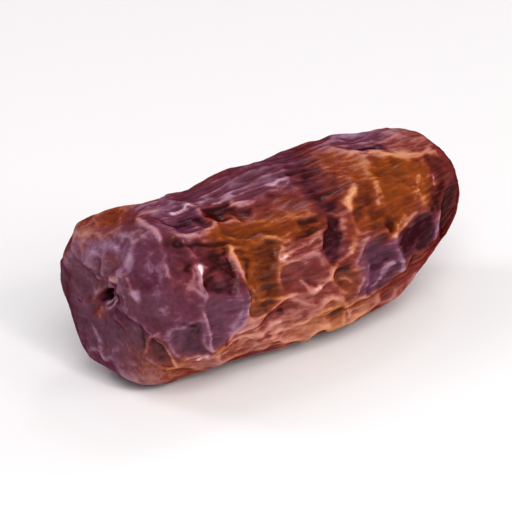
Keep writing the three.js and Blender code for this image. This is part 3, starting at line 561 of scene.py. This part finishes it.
def date_skin():
    """The skin as a grid: x along the outline and the angle round it, each point lifted along the
    plump body's normal by the relief, then put in its posture. Returns points and masks."""
    gone, x, r = OUTLINE
    from_stem = gone[-1] * np.linspace(0, 1, ROWS + 1) ** ROW_CROWDING
    x, r = np.interp(from_stem, gone, x), np.interp(from_stem, gone, r)
    slope = np.arctan2(np.gradient(r), np.gradient(x))
    angle = np.arange(COLUMNS) * 2 * np.pi / COLUMNS
    x, r, from_stem, slope, angle = (a.copy() for a in np.broadcast_arrays(
        x[:, None], r[:, None], from_stem[:, None], slope[:, None], angle[None, :]))
    from_tip = from_stem[-1, 0] - from_stem
    body = np.stack([x, -r * np.sin(angle), r * np.cos(angle)])
    normal = np.stack([-np.sin(slope), -np.cos(slope) * np.sin(angle), np.cos(slope) * np.cos(angle)])
    unrolled = np.stack([from_stem, -RADIUS * np.sin(angle), RADIUS * np.cos(angle)])
    drawn_out = step(from_stem, 9, 15) * step(from_tip, 3, 11)
    slow, quick, brief = (np.stack([unevenness(body, (cell,), seed + axis) for axis in range(3)])
                          for cell, seed in WANDERINGS)

    def shifted(a, b, c=0, drawn=1):
        """The places moved over the skin, by a times the slow uneven values, b times the quick and c
        times the brief ones, and drawn times as far along the fruit, so that borders wander."""
        move = a * slow + b * quick + c * brief
        move[0] *= drawn
        return body + move - normal * (move * normal).sum(axis=0)

    height, wrinkled = facet_relief(body, shifted(2.6, 1.0))
    # The facets are fainter at the tip
    height *= 0.35 + 0.65 * step(from_tip, 3, 12)
    folds, line = fold_relief(shifted(1.2, 0.35))
    amber, plum, dark, pale = colouring(shifted(1.2, 0.7, 0.4, 1.7))
    height += (folds + LUMP_HEIGHT * unevenness(body, (10.0, 6.5), seed=3)
               + wrinkle_relief(body, unrolled, wrinkled, drawn_out))
    for *place, lift in SWELLINGS:
        height += lift * np.exp(-apart(body, *place))
    ends, from_scar = end_relief(body, angle, from_tip)
    # The relief is nearly pressed out underneath, and gives way to that of the ends
    under = step(-np.cos(angle), 0.71, 0.97) * (1 - step(np.abs(x + 1), 8, 18))
    height *= (1 - PRESSED_OUT * under) * step(from_scar, 0.8, 4.0) * step(from_tip, 0, 2.5)
    height += ends
    points = settled(posture(body + height * normal))
    masks = {
        "amber": amber, "plum": plum, "dark": dark, "pale": pale, "line": line, "wrinkled": wrinkled,
        "sharp": standing_out(height, SHARP_PASSES) / SHARP_HEIGHT,
        "broad": standing_out(height, BROAD_PASSES) / BROAD_HEIGHT,
        "from_scar": from_scar, "drawn_out": drawn_out, "unrolled": unrolled,
    }
    return points, masks


def added(name, data):
    """A new object in the scene."""
    made = bpy.data.objects.new(name, data)
    bpy.context.scene.collection.objects.link(made)
    return made


def closed_rings(name, grid, masks):
    """A mesh from a grid of rings, its first and last ring drawn together into one point each,
    with every mask as an attribute of its points."""
    columns = grid.shape[2]
    rings = np.moveaxis(grid, 0, -1)[1:-1]
    poles = [grid[:, end].mean(axis=1) for end in (0, -1)]
    places = np.vstack([poles[0], rings.reshape(-1, 3), poles[1]]) * MM
    index = 1 + np.arange(rings.shape[0] * columns).reshape(-1, columns)
    beside = np.roll(index, -1, axis=1)
    quads = np.stack([index[:-1], beside[:-1], beside[1:], index[1:]], axis=-1).reshape(-1, 4)
    caps = [(0, b, a) for a, b in zip(index[0], beside[0])]
    caps += [(len(places) - 1, a, b) for a, b in zip(index[-1], beside[-1])]
    mesh = bpy.data.meshes.new(name)
    mesh.from_pydata(places.tolist(), [], [list(map(int, face)) for face in [*quads, *caps]])
    mesh.polygons.foreach_set("use_smooth", np.ones(len(mesh.polygons), dtype=bool))
    for mask, values in masks.items():
        spread = np.moveaxis(values.reshape(-1, *values.shape[-2:]), 0, -1)
        spread = np.vstack([spread[0].mean(axis=0), spread[1:-1].reshape(-1, spread.shape[-1]),
                            spread[-1].mean(axis=0)]).astype(np.float32)
        kind, field = ("FLOAT", "value") if values.ndim == 2 else ("FLOAT_VECTOR", "vector")
        mesh.attributes.new(mask, kind, "POINT").data.foreach_set(field, spread.ravel())
    return added(name, mesh)


class Value:
    """A socket of a finish. Sums, products and the like of it add Math nodes."""

    def __init__(self, finish, socket):
        self.finish, self.socket = finish, socket

    def math(self, operation, first, second):
        return self.finish.node("ShaderNodeMath", {"operation": operation}, {0: first, 1: second})

    def __add__(self, other):
        return self.math("ADD", self, other)

    def __sub__(self, other):
        return self.math("SUBTRACT", self, other)

    def __rsub__(self, other):
        return self.math("SUBTRACT", other, self)

    def __mul__(self, other):
        return self.math("MULTIPLY", self, other)

    __radd__, __rmul__ = __add__, __mul__


class Finish:
    """A material while its nodes are made."""

    def __init__(self, name):
        self.material = bpy.data.materials.new(name)
        self.material.use_nodes = True
        self.shader = self.material.node_tree.nodes["Principled BSDF"]

    def set(self, socket, value):
        if isinstance(value, Value):
            self.material.node_tree.links.new(value.socket, socket)
        else:
            socket.default_value = value

    def node(self, kind, settings, inputs, output=0):
        """Adds a node: its type, its settings, the values or links of its sockets."""
        made = self.material.node_tree.nodes.new(kind)
        for name, value in settings.items():
            setattr(made, name, value)
        for name, value in inputs.items():
            self.set(made.inputs[name], value)
        return Value(self, made.outputs[output])

    def finish(self, **inputs):
        """Sets the shader's own sockets, named with _ for each space."""
        for name, value in inputs.items():
            self.set(self.shader.inputs[name.replace("_", " ")], value)
        return self.material

    def mask(self, name, output="Fac"):
        return self.node("ShaderNodeAttribute", {"attribute_name": name}, {}, output)

    def between(self, value, start, end):
        """0 where value is at start, 1 where it is at end, an S curve between."""
        return self.node("ShaderNodeMapRange", {"interpolation_type": "SMOOTHSTEP"},
                         {"Value": value, "From Min": start, "From Max": end})

    def mix(self, share, first, second):
        return self.node("ShaderNodeMix", {"data_type": "RGBA"}, {0: share, 6: first, 7: second}, 2)

    def mottle(self, lengths, detail=2.0, roughness=0.5, distortion=0.0):
        """Noise from 0 to 1 in cells of the given mm, along the fruit and across. At the ends it
        gives way to noise in even cells, or it would run together there."""
        scale = tuple(1 / length for length in (lengths[0], lengths[-1], lengths[-1]))
        placed = self.node("ShaderNodeVectorMath", {"operation": "MULTIPLY"},
                           {0: self.mask("unrolled", "Vector"), 1: scale})
        where = self.node("ShaderNodeTexCoord", {}, {}, "Object")
        even = self.node("ShaderNodeVectorMath", {"operation": "SCALE"},
                         {0: where, "Scale": 1 / (MM * (lengths[0] * lengths[-1] ** 2) ** (1 / 3))})
        look = {"Scale": 1.0, "Detail": detail, "Roughness": roughness, "Distortion": distortion}
        drawn_out = self.node("ShaderNodeTexNoise", {}, {"Vector": placed, **look}, "Fac")
        level = self.node("ShaderNodeTexNoise", {}, {"Vector": even, **look}, "Fac")
        return level + (drawn_out - level) * self.mask("drawn_out")


def tone(red, green, blue):
    """A colour given as on a screen, 0 to 255, as the linear colour that nodes take."""
    parts = [c / 255 for c in (red, green, blue)]
    return tuple(c / 12.92 if c <= 0.04045 else ((c + 0.055) / 1.055) ** 2.4 for c in parts) + (1.0,)


# Screen colours of maroon, plum and amber skin where it is deep, middling and light
DEEP = (48, 6, 6), (44, 8, 22), (66, 16, 0)
MIDDLE = (118, 40, 34), (98, 48, 70), (138, 60, 6)
LIGHT = (192, 124, 112), (160, 122, 148), (206, 138, 92)
# A painted glint's near white, and the near black painted as shade into the scar's hole
PAINTED_GLINT, PIT = (244, 214, 210), (24, 5, 5)


def skin_finish():
    """Glossy skin whose colour runs from deep to light in three hues: maroon, amber where it stands
    loose from the flesh, plum where it keeps its bloom. Crests and raised places are painted lighter,
    a painted highlight, and creases and hollows darker, a painted shade. Crests are glossier, and the
    gloss fades where the skin is seen edge-on."""
    f = Finish("date_skin")
    amber, plum, dark, pale = f.mask("amber"), f.mask("plum"), f.mask("dark"), f.mask("pale")
    line, sharp, broad = f.mask("line"), f.mask("sharp"), f.mask("broad")
    wrinkled, from_scar = f.mask("wrinkled"), f.mask("from_scar")
    cloudy = f.mottle((7.0, 4.0), 3, 0.55, 0.4)
    blotchy = f.mottle((2.6, 1.3), 4, 0.62, 0.8)
    patchy = f.mottle((1.5, 0.8), 4, 0.66, 0.7)
    streaky = f.mottle((2.6, 0.55), 3, 0.6, 0.5)
    fine = f.mottle((0.60, 0.28), 3, 0.65)

    fold_highlight = f.between(line + 1.2 * (patchy - 0.5) + 1.0 * (fine - 0.5), 0.25, 1.2)
    crease_shade = f.between(line + 0.4 * (blotchy - 0.5), -0.2, -0.9)
    bloom = f.between(plum - 0.25 * fold_highlight + 0.8 * (patchy - 0.5) + 1.0 * (cloudy - 0.5), 0.05, 0.95)
    loose = f.between(amber + 0.8 * (blotchy - 0.5) + 0.8 * (streaky - 0.5), 0.05, 0.95)
    deep, middle, light = (
        f.mix(loose, f.mix(bloom, tone(*maroon), tone(*violet)), tone(*gold))
        for maroon, violet, gold in (DEEP, MIDDLE, LIGHT))
    # How light the skin is: what each mask and each size of mottle adds, and painted light and shade:
    # lighter along high folds, a painted highlight with the lighter skin of their crests, and where the
    # skin stands out; darker in creases and hollows, a painted shade
    value = (0.335 + 0.54 * pale - 0.36 * dark + 0.20 * fold_highlight - 0.24 * crease_shade
             + 0.7 * (cloudy - 0.5) + 0.45 * (patchy - 0.5) + 0.25 * (fine - 0.5)
             + (0.70 - 0.35 * amber) * (streaky - 0.5)
             + 0.40 * (f.between(sharp, -2.2, 2.6) - 0.46) + 0.34 * (f.between(broad, -1.6, 1.6) - 0.5))
    colour = f.mix(2 * value - 1, f.mix(2 * value, deep, middle), light)
    # Painted glint: where pale goes above 1, the colour turns near white
    colour = f.mix(f.between(pale + 0.8 * (fine - 0.5), 1.0, 1.8), colour, tone(*PAINTED_GLINT))
    # Painted shade: the scar's hole is painted near black
    pit = f.between(from_scar + 1.4 * (blotchy - 0.5), 1.00, 0.50)
    colour = f.mix(pit * 0.95, colour, tone(*PIT))

    gloss = 0.26 + 0.20 * f.between(blotchy, 0.3, 0.8) + 0.06 * plum
    edge_on = f.node("ShaderNodeLayerWeight", {}, {"Blend": 0.5}, "Facing")
    crest = f.between(sharp, -1.5, 1.5)
    fading = f.between(edge_on, 0.75, 0.25)
    grain = (0.5 * f.mottle((0.9, 0.16), 3, 0.6) + 0.35 * f.mottle((0.22,), 2)
             + 0.3 * streaky * (0.4 + wrinkled))
    bumps = f.node("ShaderNodeBump", {}, {"Strength": 0.22, "Distance": 0.12 * MM, "Height": grain})
    wetness = (0.55 + 0.20 * crest - 0.15 * plum - 0.40 * dark) * fading
    return f.finish(
        Base_Color=colour, Roughness=gloss, Normal=bumps, IOR=1.0,
        Coat_Weight=wetness, Coat_Roughness=0.28, Coat_IOR=1.5,
        Subsurface_Weight=0.25, Subsurface_Radius=(1.0, 0.28, 0.12), Subsurface_Scale=1.2 * MM)


skin_points, skin_masks = date_skin()
skin = closed_rings("wrinkled_skin", skin_points, skin_masks)
skin.data.materials.append(skin_finish())
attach(skin, "root")
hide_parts("date")


# Ground and light
# A pale floor in even pale surroundings, a large soft lamp at the upper left, a little cool so
# that the floor stays white, and weaker ones round the fruit. The soft lamps don't show in its
# gloss. Three small warm ones do, as glints.

FLOOR_SIZE = 3.0
floor_mesh = bpy.data.meshes.new("floor")
half = FLOOR_SIZE / 2
corners = [(-half, -half, 0), (half, -half, 0), (half, half, 0), (-half, half, 0)]
floor_mesh.from_pydata(corners, [], [(0, 1, 2, 3)])
floor_mesh.materials.append(Finish("pale_floor").finish(Base_Color=(0.96, 0.96, 0.96, 1), Roughness=0.8))
floor = added("floor", floor_mesh)

world = bpy.data.worlds.new("studio")
world.use_nodes = True
background = world.node_tree.nodes["Background"]
background.inputs["Color"].default_value = (1.0, 1.0, 1.0, 1.0)
background.inputs["Strength"].default_value = 0.32
bpy.context.scene.world = world
bpy.context.scene.view_settings.view_transform = "Standard"
FRUIT_MIDDLE = Vector((0, 0, 0.0095))


def lamp(name, place, size, watts, hue=(1.0, 1.0, 1.0), mirrored=False):
    """A square lamp that faces the fruit, its place and size in metres. It shows in the fruit's
    gloss where it is mirrored."""
    light = bpy.data.lights.new(name, "AREA")
    light.size, light.energy, light.color = size, watts, hue
    holder = added(name, light)
    holder.location = place
    holder.rotation_euler = (FRUIT_MIDDLE - Vector(place)).to_track_quat("-Z", "Y").to_euler()
    holder.visible_glossy = mirrored


lamp("key_lamp", (-0.18, -0.32, 0.40), 0.36, 1.82, (0.96, 1.0, 0.99))
lamp("front_glint", (-0.06, -0.42, 0.34), 0.08, 0.45, (1.0, 0.78, 0.74), mirrored=True)
lamp("back_glint", (0.28, 0.20, 0.44), 0.08, 0.18, (1.0, 0.78, 0.86), mirrored=True)
lamp("far_glint", (-0.22, 0.38, 0.34), 0.12, 0.28, (1.0, 0.76, 0.70), mirrored=True)
lamp("front_lamp", (0.30, -0.44, 0.15), 0.24, 0.9)
lamp("back_lamp", (-0.20, 0.30, 0.36), 0.20, 0.35, (0.88, 0.84, 1.0))
lamp("side_lamp", (0.40, 0.14, 0.30), 0.20, 0.25)


# Camera
# It looks at the fruit as the photograph does: from the stem end's side, 25 degrees above
# the surface, turned a degree.

VIEW_TURN, VIEW_RISE, VIEW_ROLL = math.radians(-39), math.radians(25), math.radians(-1.1)
LENS, SENSOR = 300, 36                       # mm
DISTANCE, AIM_HEIGHT = 0.46, 0.0103          # metres
ASIDE, BELOW = 0.0023, 0.0019                # metres from the fruit's middle to the picture's

towards = Vector((math.sin(VIEW_TURN) * math.cos(VIEW_RISE), -math.cos(VIEW_TURN) * math.cos(VIEW_RISE),
                  math.sin(VIEW_RISE)))
facing = (-towards).to_track_quat("-Z", "Y") @ Quaternion((0, 0, 1), VIEW_ROLL)
aim = Vector((0, 0, AIM_HEIGHT)) - facing @ Vector((ASIDE, BELOW, 0))
camera = added("camera", bpy.data.cameras.new("camera"))
camera.data.lens, camera.data.sensor_width = LENS, SENSOR
camera.location = aim + towards * DISTANCE
camera.rotation_euler = facing.to_euler()
bpy.context.scene.camera = camera
